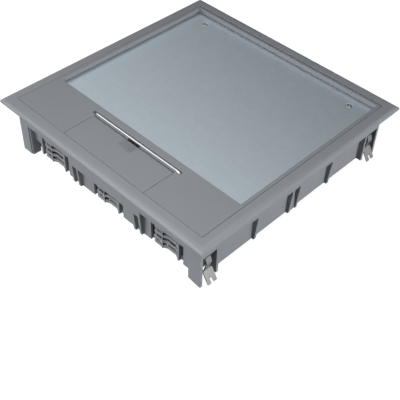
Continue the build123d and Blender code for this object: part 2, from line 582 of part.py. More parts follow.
# Earth clips of one tray's power inserts
with BuildPart() as earth_clips:
    for y in INSERT_Y[:-1]:
        for sy in (-1, 1):
            outside = y + sy * (WELL_R - INSERT_GAP)
            block((-EARTH_WIDTH / 2, EARTH_WIDTH / 2), (outside - sy * EARTH_THICK, outside),
                  (WELL_FLOOR, WELL_FLOOR + EARTH_HEIGHT))
for side, x in WINDOWS.items():
    save(earth_clips.part.moved(Location((x, 0, 0))), f"earth_clips_{side}")

# Clamp screw: slotted head on the shelf, shank down through the bay
with BuildPart() as clamp_screw:
    with BuildSketch(Plane.XY.offset(KNEE_Z - SCREW_END)):
        with Locations((SCREW_X, SCREW_Y)):
            Circle(SCREW_R)
    extrude(amount=SHELF_TOP - KNEE_Z + SCREW_END)
    with BuildSketch(Plane.XY.offset(SHELF_TOP)):
        with Locations((SCREW_X, SCREW_Y)):
            Circle(SCREW_HEAD_R)
    extrude(amount=SCREW_HEAD_HEIGHT)
    block((SCREW_X - SCREW_HEAD_R, SCREW_X + SCREW_HEAD_R), (SCREW_Y - 0.6, SCREW_Y + 0.6),
          (SHELF_TOP + SCREW_HEAD_HEIGHT / 2, SHELF_TOP + SCREW_HEAD_HEIGHT), mode=Mode.SUBTRACT)

# Clamp nut: square block that climbs the screw behind the claw
with BuildPart() as clamp_nut:
    with BuildSketch(Plane.XY.offset(KNEE_Z)):
        with Locations((SCREW_X, SCREW_Y)):
            Rectangle(NUT_WIDTH, NUT_WIDTH)
            Circle(SCREW_R + SCREW_PLAY, mode=Mode.SUBTRACT)
    extrude(amount=NUT_HEIGHT)

# Claw: bent strip that hangs from two pin eyes, bows out at its knee and ends in a two-toothed foot
with BuildPart() as clamp_claw:
    with BuildSketch(Plane.XZ.offset(-SCREW_Y)):
        with BuildLine():
            FilletPolyline((CLAW_PIN_X, CLAW_PIN_Z), (SKIRT - KNEE_SETBACK, KNEE_Z), (HEEL_X, HEEL_Z),
                           (SKIRT + TOE_REACH, TOE_HEIGHT), radius=CLAW_THICK)
            offset(amount=CLAW_THICK / 2, side=Side.BOTH)
        make_face()
    extrude(amount=CLAW_WIDTH / 2, both=True)
    waist_top = KNEE_Z + NUT_HEIGHT
    for sy in (-1, 1):
        block((BAY_X, HALF), (SCREW_Y + sy * CLAW_WAIST / 2, SCREW_Y + sy * CLAW_WIDTH), (HEEL_Z, waist_top),
              mode=Mode.SUBTRACT)
    with Locations(Location((CLAW_PIN_X, SCREW_Y, CLAW_PIN_Z), (90, 0, 0))):
        Cylinder(CLAW_EYE_R, CLAW_WIDTH)
        Cylinder(CLAW_PIN_R + PIN_PLAY, CLAW_WIDTH, mode=Mode.SUBTRACT)
    block((BAY_X, HALF), (SCREW_Y - CLAW_SLOT / 2, SCREW_Y + CLAW_SLOT / 2), (waist_top, SHELF_TOP),
          mode=Mode.SUBTRACT)
    block((HEEL_X, HALF), (SCREW_Y - CLAW_TOOTH_GAP / 2, SCREW_Y + CLAW_TOOTH_GAP / 2),
          (0, TOE_HEIGHT + CLAW_TOOTH_LENGTH), mode=Mode.SUBTRACT)


def to_corner(shape, sx, sy):
    """Copy of a back-right clamp piece at the corner with these signs."""
    if sx < 0:
        shape = shape.mirror(Plane.YZ)
    if sy < 0:
        shape = shape.mirror(Plane.XZ)
    return shape


for sx, sy in CORNERS:
    corner = CORNER_NAMES[(sx, sy)]
    save(to_corner(clamp_screw.part, sx, sy), f"clamp_screw_{corner}")
    save(to_corner(clamp_nut.part, sx, sy), f"clamp_nut_{corner}")
    save(to_corner(clamp_claw.part, sx, sy), f"clamp_claw_{corner}")

# Claw pins: two stubs in each bay, one in each side wall of the bay
with BuildPart() as claw_pins:
    for sx, sy in CORNERS:
        for near, far in ((SCREW_Y + CLAW_SLOT / 2, SKIRT_IN + SKIRT_WALL / 2),
                          (SCREW_Y - CLAW_SLOT / 2, BAY_Y - SKIRT_WALL / 2)):
            with Locations(Location((sx * CLAW_PIN_X, sy * (near + far) / 2, CLAW_PIN_Z), (90, 0, 0))):
                Cylinder(CLAW_PIN_R, abs(far - near))
save(claw_pins.part, "claw_pins")
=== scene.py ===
# %% [markdown]
# # A floor socket box
#
# This box sits in a square hole of a raised floor. A flange covers the edge of the hole, a recessed lid
# takes a piece of carpet, and leads leave under a small flap. The construction is already there as a fixed
# frame of CAD pieces at their real size. What is left to do is what makes a moulding look moulded and a
# screw look like a screw: soft edges, threads, recesses and finishes.

# %% Load the frame
import json
import math

import bmesh
import bpy
from mathutils import Matrix, Vector


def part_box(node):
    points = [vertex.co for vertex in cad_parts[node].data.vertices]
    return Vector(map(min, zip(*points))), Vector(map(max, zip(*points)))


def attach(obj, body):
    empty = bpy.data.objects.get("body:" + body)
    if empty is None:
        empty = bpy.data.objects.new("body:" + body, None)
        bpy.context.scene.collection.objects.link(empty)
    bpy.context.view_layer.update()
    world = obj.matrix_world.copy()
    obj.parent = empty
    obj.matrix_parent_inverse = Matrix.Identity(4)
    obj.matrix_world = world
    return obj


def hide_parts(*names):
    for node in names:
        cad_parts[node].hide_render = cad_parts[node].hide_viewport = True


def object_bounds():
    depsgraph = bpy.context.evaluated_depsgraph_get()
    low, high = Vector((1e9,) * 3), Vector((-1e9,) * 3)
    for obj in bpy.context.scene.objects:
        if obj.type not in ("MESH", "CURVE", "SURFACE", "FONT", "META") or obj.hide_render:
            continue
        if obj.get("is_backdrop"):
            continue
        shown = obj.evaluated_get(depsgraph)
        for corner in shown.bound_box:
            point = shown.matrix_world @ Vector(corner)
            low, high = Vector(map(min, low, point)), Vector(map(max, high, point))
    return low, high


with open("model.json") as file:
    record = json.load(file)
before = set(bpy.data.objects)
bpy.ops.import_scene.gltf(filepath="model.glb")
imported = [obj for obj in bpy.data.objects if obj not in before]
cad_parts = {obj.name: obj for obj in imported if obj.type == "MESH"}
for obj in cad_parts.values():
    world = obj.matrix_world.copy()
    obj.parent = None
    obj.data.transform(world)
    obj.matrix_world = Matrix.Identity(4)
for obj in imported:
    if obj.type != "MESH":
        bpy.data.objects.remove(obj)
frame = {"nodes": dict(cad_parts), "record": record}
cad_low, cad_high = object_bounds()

bpy.ops.object.select_all(action="DESELECT")
MM = 0.001
nodes = frame["nodes"]
print(len(nodes), "CAD pieces, box", [round(v / MM, 1) for v in cad_high - cad_low], "mm")

# %% [markdown]
# ## Shader maths
#
# A material is a small calculation, and wiring Math nodes by hand hides what it says. One class wraps a
# socket, so that an expression such as `grain * 0.1 + 0.45` adds the nodes itself. Every other kind of node
# comes from its `add` method: the kind, then its settings, then its inputs.

# %% A socket that can be used in expressions
class Shade:
    """One socket of a node tree. Arithmetic on it adds Math nodes."""

    def __init__(self, tree, socket=None):
        self.tree = tree
        self.socket = socket

    def add(self, kind, settings=None, inputs=None, output=0):
        """Adds a node, sets it up, feeds its inputs and gives one of its outputs."""
        node = self.tree.nodes.new(kind)
        for name, value in (settings or {}).items():
            setattr(node, name, value)
        for name, value in (inputs or {}).items():
            if isinstance(value, Shade):
                self.tree.links.new(value.socket, node.inputs[name])
            else:
                node.inputs[name].default_value = value
        return Shade(self.tree, node.outputs[output] if node.outputs else None)

    def maths(self, operation, first, second):
        return self.add("ShaderNodeMath", {"operation": operation}, {0: first, 1: second})

    def __add__(self, other):
        return self.maths("ADD", self, other)

    def __radd__(self, other):
        return self.maths("ADD", other, self)

    def __sub__(self, other):
        return self.maths("SUBTRACT", self, other)

    def __rsub__(self, other):
        return self.maths("SUBTRACT", other, self)

    def __mul__(self, other):
        return self.maths("MULTIPLY", self, other)

    def __rmul__(self, other):
        return self.maths("MULTIPLY", other, self)

    def magnitude(self):
        return self.maths("ABSOLUTE", self, 0)

    def above(self, limit):
        return self.maths("GREATER_THAN", self, limit)

    def either(self, other):
        return self.maths("MAXIMUM", self, other)

    def between(self, lowest, highest):
        return self.add("ShaderNodeClamp", inputs={"Value": self, "Min": lowest, "Max": highest})


# %% [markdown]
# Every pattern here reads Object coordinates. The pieces sit at the origin with their place in their mesh,
# so a pattern is measured in metres and runs on from piece to piece, as it would if all were moulded from
# one batch.

# %% Helpers that all the materials share
def new_material(name):
    """An empty material and a Shade to build it with."""
    material = bpy.data.materials.new(name)
    material.use_nodes = True
    material.node_tree.nodes.clear()
    return material, Shade(material.node_tree)


def noise(shade, per_metre, detail=2, stretch=(1, 1, 1)):
    """Noise from 0 to 1, with about this many features in a metre."""
    place = shade.add("ShaderNodeTexCoord", output="Object")
    place = shade.add("ShaderNodeMapping", inputs={"Vector": place, "Scale": stretch})
    return shade.add("ShaderNodeTexNoise", inputs={"Vector": place, "Scale": per_metre, "Detail": detail})


def blend(shade, factor, dark, light):
    """A colour between two others."""
    ends = {0: factor, 6: (*dark, 1), 7: (*light, 1)}
    return shade.add("ShaderNodeMix", {"data_type": "RGBA"}, ends, output=2)


def shades_of(colour, share):
    """A colour made darker and lighter by this share."""
    return [tuple(c * (1 + s * share) for c in colour) for s in (-1, 1)]


def bumps(shade, height, strength, depth):
    """The normals of a surface with this relief."""
    return shade.add("ShaderNodeBump", inputs={"Height": height, "Strength": strength, "Distance": depth})


def close_material(shade, **inputs):
    """Feeds a Principled shader and the material's output."""
    named = {name.replace("_", " "): value for name, value in inputs.items()}
    surface = shade.add("ShaderNodeBsdfPrincipled", inputs=named)
    shade.add("ShaderNodeOutputMaterial", inputs={"Surface": surface})


# %% [markdown]
# ## Moulded plastic
#
# The frame, lid and flap are a mid grey engineering plastic out of a spark-eroded mould. The mould leaves a
# grain of about a quarter of a millimetre, which takes the shine down. A painted-on texture would not
# survive a close look, so the grain drives both the bump and the roughness, and a much larger noise makes
# the tone drift a little.

# %% Moulded plastic
GRAIN_PER_METRE = 3600
GRAIN_RELIEF = 0.35
GRAIN_IN_TONE = 0.3
GRAIN_IN_GLOSS = 0.14
DRIFT_PER_METRE = 26
PLASTIC_SPREAD = 0.05


def moulded_plastic(name, colour, roughness, grain_depth):
    """Grained plastic of one colour."""
    material, shade = new_material(name)
    grain = noise(shade, GRAIN_PER_METRE, detail=3)
    drift = noise(shade, DRIFT_PER_METRE)
    factor = drift * (1 - GRAIN_IN_TONE) + grain * GRAIN_IN_TONE
    close_material(
        shade,
        Base_Color=blend(shade, factor, *shades_of(colour, PLASTIC_SPREAD)),
        Roughness=grain * GRAIN_IN_GLOSS + roughness,
        Normal=bumps(shade, grain, GRAIN_RELIEF, grain_depth),
    )
    return material


FRAME_GREY = (0.232, 0.245, 0.266)
LID_GREY = (0.222, 0.234, 0.253)
LADDER_GREY = (0.25, 0.262, 0.282)
TRAY_GREY = (0.028, 0.029, 0.031)
INSERT_WHITE = (0.66, 0.66, 0.64)
COARSE, FINE, POLISHED = 0.04 * MM, 0.03 * MM, 0.01 * MM
finishes = {
    "frame_plastic": moulded_plastic("grey_frame_plastic", FRAME_GREY, 0.42, COARSE),
    "lid_plastic": moulded_plastic("grey_lid_plastic", LID_GREY, 0.44, COARSE),
    "flap_plastic": moulded_plastic("grey_flap_plastic", LID_GREY, 0.43, COARSE),
    "ladder_plastic": moulded_plastic("grey_ladder_plastic", LADDER_GREY, 0.38, FINE),
    "tray_plastic": moulded_plastic("black_tray_plastic", TRAY_GREY, 0.4, COARSE),
    "insert_plastic": moulded_plastic("white_insert_plastic", INSERT_WHITE, 0.2, POLISHED),
}
print("plastics:", ", ".join(finishes))

# %% [markdown]
# ## Galvanised sheet
#
# The plate in the lid is zinc-coated steel. Zinc freezes in crystals of a few millimetres, the spangle, and
# each crystal reflects a little differently. A Voronoi texture gives such cells with one random value each,
# and a noise bends their edges. The spangle changes the tone by a few percent only, a fine speckle covers
# it, and rolling leaves faint long streaks.

# %% Galvanised sheet
SPANGLE_PER_METRE = 230
BENDS_PER_METRE = 420
BEND_REACH = 3 * MM
SPECKLES_PER_METRE = 1500
SPECKLE_RELIEF, SPECKLE_DEPTH = 0.08, 0.02 * MM
STREAKS_PER_METRE = 18
THIN_ACROSS_Y = (1, 26, 1)
CRYSTAL_SHARE, SPECKLE_SHARE, STREAK_SHARE = 0.2, 0.5, 0.3
ZINC_DARK = (0.452, 0.515, 0.562)
ZINC_LIGHT = (0.552, 0.622, 0.672)
SHEET_ROUGHNESS, SHEET_ROUGHNESS_SPREAD = 0.36, 0.08


def galvanised_sheet():
    """Zinc-coated steel with its spangle, speckle and rolling streaks."""
    material, shade = new_material("galvanised_sheet")
    place = shade.add("ShaderNodeTexCoord", output="Object")
    swirl = shade.add("ShaderNodeTexNoise", inputs={"Vector": place, "Scale": BENDS_PER_METRE, "Detail": 2},
                      output="Color")
    swirl = shade.add("ShaderNodeVectorMath", {"operation": "SCALE"}, {0: swirl, "Scale": BEND_REACH})
    bent = shade.add("ShaderNodeVectorMath", {"operation": "ADD"}, {0: place, 1: swirl})
    cells = shade.add("ShaderNodeTexVoronoi", {"feature": "F1"},
                      {"Vector": bent, "Scale": SPANGLE_PER_METRE}, output="Color")
    crystal = shade.add("ShaderNodeSeparateColor", inputs={"Color": cells})
    speckle = noise(shade, SPECKLES_PER_METRE, detail=3)
    streak = noise(shade, STREAKS_PER_METRE, detail=3, stretch=THIN_ACROSS_Y)
    factor = crystal * CRYSTAL_SHARE + speckle * SPECKLE_SHARE + streak * STREAK_SHARE
    close_material(
        shade,
        Base_Color=blend(shade, factor, ZINC_DARK, ZINC_LIGHT),
        Metallic=1.0,
        Roughness=factor * SHEET_ROUGHNESS_SPREAD + SHEET_ROUGHNESS,
        Normal=bumps(shade, speckle, SPECKLE_RELIEF, SPECKLE_DEPTH),
    )
    return material


finishes["galvanised_plate"] = galvanised_sheet()
print("galvanised sheet:", SPANGLE_PER_METRE, "crystals in a metre")

# %% [markdown]
# ## Bright metals
#
# The pull handle is drawn stainless wire, and the clamps and screws are zinc-plated. Plating is bright but
# not a mirror, so it gets soft clouds in its roughness. Drawn wire has fine lines along its length. Contact
# strips are stamped from nickel-brass.

# %% Bright metals
CLOUDS_PER_METRE = 240
LINES_PER_METRE = 2600
LINE_RELIEF, LINE_DEPTH = 0.15, 0.01 * MM
METAL_SPREAD = 0.06
CLOUDS_IN_GLOSS, LINES_IN_GLOSS = 0.12, 0.08
EVEN, ALONG_X = (1, 1, 1), (0.02, 1, 1)


def bright_metal(name, colour, roughness, stretch):
    """Plated or drawn metal: clouds and fine scratches change its gloss more than its colour."""
    material, shade = new_material(name)
    clouds = noise(shade, CLOUDS_PER_METRE, detail=3)
    lines = noise(shade, LINES_PER_METRE, stretch=stretch)
    close_material(
        shade,
        Base_Color=blend(shade, clouds, *shades_of(colour, METAL_SPREAD)),
        Metallic=1.0,
        Roughness=clouds * CLOUDS_IN_GLOSS + lines * LINES_IN_GLOSS + roughness,
        Normal=bumps(shade, lines, LINE_RELIEF, LINE_DEPTH),
    )
    return material


WIRE_STEEL = (0.74, 0.75, 0.765)
PLATED_ZINC = (0.62, 0.63, 0.65)
NICKEL_BRASS = (0.72, 0.62, 0.38)
finishes["bright_wire"] = bright_metal("drawn_wire", WIRE_STEEL, 0.06, ALONG_X)
finishes["zinc_steel"] = bright_metal("zinc_plating", PLATED_ZINC, 0.1, EVEN)
finishes["contact_brass"] = bright_metal("contact_strip", NICKEL_BRASS, 0.16, EVEN)
print("finishes:", ", ".join(sorted(finishes)))

# %% [markdown]
# ## From CAD solid to moulding
#
# CAD edges are perfectly sharp, and real ones never are: a mould has a radius at every edge, and that
# radius is what catches the light. The exact solids stay as they are. A copy of each is merged into clean
# faces, and a narrow bevel rounds every edge sharper than forty degrees, so the facets of round holes are
# left alone.

# %% Helpers that turn a CAD copy into a finished piece
MERGE_WITHIN = 0.002 * MM
FLAT_WITHIN = math.radians(0.4)
SHARP_FROM = math.radians(40)
SMOOTH_UP_TO = math.radians(50)


def only(piece):
    """Makes this the one selected and active object."""
    bpy.ops.object.select_all(action="DESELECT")
    piece.select_set(True)
    bpy.context.view_layer.objects.active = piece


def finished(piece, slot, body, *replaced):
    """Gives a piece its finish and its body, and lets it stand for CAD nodes."""
    piece.data.materials.clear()
    piece.data.materials.append(finishes[slot])
    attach(piece, body)
    if replaced:
        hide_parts(*replaced)


def copy_of(node, name):
    """A copy of a CAD node, its loose triangles merged into whole faces."""
    piece = bpy.data.objects.new(name, nodes[node].data.copy())
    bpy.context.scene.collection.objects.link(piece)
    only(piece)
    bpy.ops.object.mode_set(mode="EDIT")
    bpy.ops.mesh.select_all(action="SELECT")
    bpy.ops.mesh.remove_doubles(threshold=MERGE_WITHIN)
    bpy.ops.mesh.dissolve_limited(angle_limit=FLAT_WITHIN)
    bpy.ops.object.mode_set(mode="OBJECT")
    return piece


def soften(piece, radius):
    """Rounds all sharp edges of a piece and smooths its curved faces."""
    only(piece)
    bevel = piece.modifiers.new("soft edges", "BEVEL")
    bevel.width = radius
    bevel.segments = 2
    bevel.limit_method = "ANGLE"
    bevel.angle_limit = SHARP_FROM
    bevel.use_clamp_overlap = False
    bpy.ops.object.modifier_apply(modifier=bevel.name)
    bpy.ops.object.shade_smooth_by_angle(angle=SMOOTH_UP_TO)
    flat = piece.modifiers.new("flat faces stay flat", "WEIGHTED_NORMAL")
    flat.keep_sharp = True
    flat.weight = 100
    bpy.ops.object.modifier_apply(modifier=flat.name)


def body_of(node):
    """The body that a CAD node rides on."""
    bodies = frame["record"]["behaviour"]["bodies"]
    return next(body for body, members in bodies.items() if node in members)


def slot_of(node):
    """The material slot of a CAD node."""
    return next(s["material_slot"] for s in frame["record"]["subparts"] if s["node"] == node)


# %% [markdown]
# Two copies get a small change first. The gap round the plate shows as a dark line in the picture, a little
# wider than the fit of the solids, so the plate's rim is drawn in. And the foot at the front right has a
# sloped cut that rises less in the picture than in the solid, so the cut's top edge comes down, as does that
# of its twin at the back left.

# %% Two small changes to copies
PLATE_GAP = 0.5 * MM
RIM_WITHIN = 0.05 * MM
FOOT_CUT_X, FOOT_CUT_X_WITHIN = 107 * MM, 0.6 * MM
FOOT_CUT_TOP, FOOT_CUT_TOP_WITHIN = 8.5 * MM, 0.2 * MM
FOOT_CUT_SEEN = 2.0 * MM


def draw_in_plate(plate_copy):
    """Pulls the plate's rim in by the gap on all four sides."""
    low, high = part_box("lid_plate")
    for vert in plate_copy.data.vertices:
        for axis in (0, 1):
            if vert.co[axis] < low[axis] + RIM_WITHIN:
                vert.co[axis] += PLATE_GAP
            elif vert.co[axis] > high[axis] - RIM_WITHIN:
                vert.co[axis] -= PLATE_GAP


def lower_foot_cuts(frame_copy):
    """Lowers the top edge of the sloped cut in the front right foot and in its twin at the back left."""
    moved = 0
    for vert in frame_copy.data.vertices:
        beside_cut = abs(abs(vert.co.x) - FOOT_CUT_X) < FOOT_CUT_X_WITHIN
        if beside_cut and abs(vert.co.z - FOOT_CUT_TOP) < FOOT_CUT_TOP_WITHIN:
            vert.co.z = FOOT_CUT_SEEN
            moved += 1
    print("foot cuts:", moved, "corners lowered")


# %% [markdown]
# The radius is smallest where pieces meet with a fine gap, and larger on small parts that are only seen
# close up. Nodes without a radius keep their exact mesh and just get their finish, or are modelled anew
# further on.

# %% The mouldings, the plate and the small stamped pieces
EDGE_RADIUS_MM = {
    "floor_frame": 0.14,
    "lid": 0.1,
    "cable_flap": 0.1,
    "bail_clips": 0.4,
    "device_tray": 0.3,
    "tray_cover": 0.3,
    "ladder": 0.3,
    "socket": 0.4,
    "data_outlet": 0.4,
    "earth_clips": 0.3,
    "clamp_nut": 0.5,
    "clamp_claw": 0.25,
}


def edge_radius(node):
    """The radius for a node or for its family, so lid also covers lid_plate and lid_pins."""
    for family, radius in EDGE_RADIUS_MM.items():
        if node == family or node.startswith(family + "_"):
            return radius * MM
    return None


for node in sorted(nodes):
    if edge_radius(node):
        piece = copy_of(node, node + "_soft")
        if node == "floor_frame":
            lower_foot_cuts(piece)
        if node == "lid_plate":
            draw_in_plate(piece)
        soften(piece, edge_radius(node))
        finished(piece, slot_of(node), body_of(node), node)
        print(node, len(piece.data.polygons), "faces")
    else:
        nodes[node].data.materials.clear()
        nodes[node].data.materials.append(finishes[slot_of(node)])

# %% [markdown]
# ## Pull handle
#
# The handle is one length of 3 mm wire, bent twice, whose legs slide through the lid. A circle pushed along
# the wire's path does it in five steps: up a leg, round a bend, across, round the other bend and down
# again. The Spin tool makes the bends, so they are true arcs, and the reflection runs round them without a
# break.

# %% Helpers for modelling by hand
LOOKS_STRAIGHT = 0.9


def new_piece(name, add_primitive, **settings):
    """Adds a primitive with nothing else selected, names it and moves its place into its mesh."""
    bpy.ops.object.select_all(action="DESELECT")
    add_primitive(**settings)
    piece = bpy.context.object
    piece.name = name
    bpy.ops.object.transform_apply(location=True, rotation=True, scale=True)
    return piece


def edit(piece):
    """Opens a piece in edit mode with everything selected."""
    only(piece)
    bpy.ops.object.mode_set(mode="EDIT")
    bpy.ops.mesh.select_all(action="SELECT")


def pull(x, y, z):
    """Extrudes what is selected along this vector."""
    bpy.ops.mesh.extrude_region_move(TRANSFORM_OT_translate={"value": (x, y, z)})


def pick_faces(piece, test):
    """Selects the faces whose centre and normal pass a test, in edit mode."""
    bpy.ops.mesh.select_all(action="DESELECT")
    bpy.ops.mesh.select_mode(type="FACE")
    mesh = bmesh.from_edit_mesh(piece.data)
    for face in mesh.faces:
        face.select = test(face.calc_center_median(), face.normal)
    bmesh.update_edit_mesh(piece.data)


def pick_top(piece):
    """Selects the faces that look up, in edit mode."""
    pick_faces(piece, lambda centre, normal: normal.z > LOOKS_STRAIGHT)


def close_piece(piece, smooth_up_to=40):
    """Merges doubles, turns all faces outwards and smooths the curved ones."""
    edit(piece)
    bpy.ops.mesh.remove_doubles(threshold=0.001 * MM)
    bpy.ops.mesh.normals_make_consistent(inside=False)
    bpy.ops.object.mode_set(mode="OBJECT")
    bpy.ops.object.shade_smooth_by_angle(angle=math.radians(smooth_up_to))
    return piece


# %% The bent wire
BEND_RADIUS = 3.5 * MM
low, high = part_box("bail")
wire_r = (high.y - low.y) / 2
wire_y = (low.y + high.y) / 2
leg_x = high.x - wire_r
bend_z = high.z - wire_r - BEND_RADIUS
handle = new_piece("pull_handle", bpy.ops.mesh.primitive_circle_add, vertices=40, radius=wire_r,
                   fill_type="NGON", location=(-leg_x, wire_y, low.z))
edit(handle)
pull(0, 0, bend_z - low.z)
quarter = {"steps": 14, "angle": math.radians(90), "axis": (0, -1, 0)}
bpy.ops.mesh.spin(center=(BEND_RADIUS - leg_x, wire_y, bend_z), **quarter)
pull(2 * (leg_x - BEND_RADIUS), 0, 0)
bpy.ops.mesh.spin(center=(leg_x - BEND_RADIUS, wire_y, bend_z), **quarter)
pull(0, 0, low.z - bend_z)
bpy.ops.object.mode_set(mode="OBJECT")
close_piece(handle)
finished(handle, "bright_wire", "handle", "bail")
print("pull handle", len(handle.data.polygons), "faces")

# %% [markdown]
# ## Screws
#
# Two kinds of screw show. Countersunk ones hold the plate, with a cross recess and a fine dark ring around
# the head, where the hole is a little wider. Long ones in the corners drive the clamps, and their thread is
# what one sees through the open bays. The cross is cut with a boolean: a recess with four arms is one clean
# cut that way, and many awkward insets otherwise.

# %% Helpers for screws
def cut_away(piece, cutter, cutter_overlaps=False):
    """Cuts the cutter's shape out of a piece and deletes the cutter."""
    only(piece)
    cut = piece.modifiers.new("cut", "BOOLEAN")
    cut.object = cutter
    cut.solver = "EXACT"
    cut.use_self = cutter_overlaps
    bpy.ops.object.modifier_apply(modifier=cut.name)
    bpy.data.objects.remove(cutter)


def cross_recess(head, top, reach, width, depth):
    """Cuts a cross into the top of a screw head, round this point."""
    cutter = new_piece("cross_cutter", bpy.ops.mesh.primitive_cube_add, size=1, location=top,
                       scale=(2 * reach, width, 2 * depth))
    edit(cutter)
    bpy.ops.mesh.duplicate()
    bpy.ops.transform.rotate(value=math.radians(90), orient_axis="Z", center_override=top)
    bpy.ops.object.mode_set(mode="OBJECT")
    cut_away(head, cutter, cutter_overlaps=True)


def round_top(piece, radius, segments):
    """Rounds the rim of a piece's top face, in edit mode."""
    pick_top(piece)
    bpy.ops.mesh.bevel(offset=radius, segments=segments, affect="EDGES")


def copy_to(piece, name, shift):
    """A copy of a piece with its own mesh, moved by this much."""
    twin = bpy.data.objects.new(name, piece.data.copy())
    bpy.context.scene.collection.objects.link(twin)
    twin.data.transform(Matrix.Translation(shift))
    return twin


def join(name, *pieces):
    """Joins pieces into the first one."""
    only(pieces[0])
    for piece in pieces[1:]:
        piece.select_set(True)
    bpy.ops.object.join()
    pieces[0].name = name
    return pieces[0]


# %% The plate's countersunk screws
PLATE_HEAD_R = 3.25 * MM
PLATE_HEAD_HEIGHT = 1.1 * MM
PLATE_HEAD_SUNK = 0.2 * MM
PLATE_SHANK_R = 1.8 * MM
low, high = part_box("plate_screws")
screw_y = (low.y + high.y) / 2
screw_x = high.x - (high.y - low.y) / 2
top = high.z - PLATE_HEAD_SUNK
right_screw = new_piece("plate_screw_right", bpy.ops.mesh.primitive_cylinder_add, vertices=48,
                        radius=PLATE_HEAD_R, depth=PLATE_HEAD_HEIGHT,
                        location=(screw_x, screw_y, top - PLATE_HEAD_HEIGHT / 2))
edit(right_screw)
pick_faces(right_screw, lambda centre, normal: normal.z < -LOOKS_STRAIGHT)
bpy.ops.transform.resize(value=(PLATE_SHANK_R / PLATE_HEAD_R,) * 3)
pull(0, 0, low.z - top + PLATE_HEAD_HEIGHT)
round_top(right_screw, radius=0.25 * MM, segments=3)
bpy.ops.object.mode_set(mode="OBJECT")
cross_recess(right_screw, (screw_x, screw_y, top), reach=1.9 * MM, width=0.75 * MM, depth=0.8 * MM)
left_screw = copy_to(right_screw, "plate_screw_left", Vector((-2 * screw_x, 0, 0)))
plate_pair = close_piece(join("plate_screw_pair", right_screw, left_screw))
finished(plate_pair, "zinc_steel", "lid", "plate_screws")
print("plate screws", len(plate_pair.data.polygons), "faces")

# %% [markdown]
# A real thread is a V that climbs as it turns, and the Screw modifier does just that: it takes the V for
# one turn and repeats it up the shank. A circle of four corners, flattened and with the corner nearest the
# axis deleted, is such a V. The thread starts below and ends above the shank, and two cuts with Bisect trim
# it.

# %% The V of a clamp screw's thread
PITCH = 0.7 * MM
THREAD_DEPTH = 0.24 * MM
CLAMP_SHANK_R = 1.95 * MM
CLAMP_HEAD_HEIGHT = 2.6 * MM
low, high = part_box("clamp_screw_back_right")
screw_x, screw_y = (low.x + high.x) / 2, (low.y + high.y) / 2
shelf = high.z - CLAMP_HEAD_HEIGHT
shank = new_piece("clamp_screw_shank", bpy.ops.mesh.primitive_circle_add, vertices=4, radius=PITCH / 2,
                  rotation=(math.radians(90), 0, 0), scale=(THREAD_DEPTH / PITCH * 2, 1, 1),
                  location=(CLAMP_SHANK_R - THREAD_DEPTH, 0, low.z - PITCH))
edit(shank)
mesh = bmesh.from_edit_mesh(shank.data)
bpy.ops.mesh.select_all(action="DESELECT")
bpy.ops.mesh.select_mode(type="VERT")
min(mesh.verts, key=lambda vert: vert.co.x).select = True
mesh.select_flush(True)
bmesh.update_edit_mesh(shank.data)
bpy.ops.mesh.delete(type="VERT")
bpy.ops.object.mode_set(mode="OBJECT")
print("V of", len(shank.data.vertices), "corners,", round(THREAD_DEPTH / MM, 2), "mm deep")

# %% The V climbs up the shank
climb = shank.modifiers.new("thread", "SCREW")
climb.screw_offset = PITCH
climb.iterations = math.ceil((shelf - low.z) / PITCH) + 2
climb.steps = climb.render_steps = 24
climb.use_merge_vertices = True
climb.merge_threshold = 0.001 * MM
bpy.ops.object.modifier_apply(modifier=climb.name)
edit(shank)
bpy.ops.mesh.remove_doubles(threshold=0.001 * MM)
for height, outwards in ((low.z, -1), (shelf, 1)):
    bpy.ops.mesh.select_all(action="SELECT")
    bpy.ops.mesh.bisect(plane_co=(0, 0, height), plane_no=(0, 0, outwards), clear_outer=True, use_fill=True)
bpy.ops.object.mode_set(mode="OBJECT")
shank.data.transform(Matrix.Translation((screw_x, screw_y, 0)))
print("thread", len(shank.data.polygons), "faces")

# %% The clamp screws' heads, and one screw in each corner
def middle(node):
    """The middle of a CAD node's box."""
    low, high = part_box(node)
    return (low + high) / 2


def nodes_of(family):
    """The CAD nodes whose names start like this, in order."""
    return sorted(node for node in nodes if node.startswith(family))


head = new_piece("clamp_screw_head", bpy.ops.mesh.primitive_cylinder_add, vertices=48,
                 radius=(high.x - low.x) / 2, depth=CLAMP_HEAD_HEIGHT,
                 location=(screw_x, screw_y, high.z - CLAMP_HEAD_HEIGHT / 2))
edit(head)
round_top(head, radius=0.9 * MM, segments=5)
bpy.ops.object.mode_set(mode="OBJECT")
cross_recess(head, (screw_x, screw_y, high.z), reach=2.1 * MM, width=0.85 * MM, depth=1.6 * MM)
screw = close_piece(join("clamp_screw_back_right_made", shank, head), smooth_up_to=60)
for node in nodes_of("clamp_screw_"):
    if node == "clamp_screw_back_right":
        made = screw
    else:
        made = copy_to(screw, node + "_made", middle(node) - middle("clamp_screw_back_right"))
    finished(made, "zinc_steel", body_of(node), node)
print("clamp screws", len(screw.data.polygons), "faces each")

# %% [markdown]
# ## Inside the inserts
#
# With the lid open one looks straight into the sockets and the data ports. A socket shows the screw that
# holds its two halves together and, behind each pin hole, a sloped shutter that a plug's pin pushes aside.
# Boxes would do from afar, but the open lid is a view of its own, so the small parts get their real shapes.

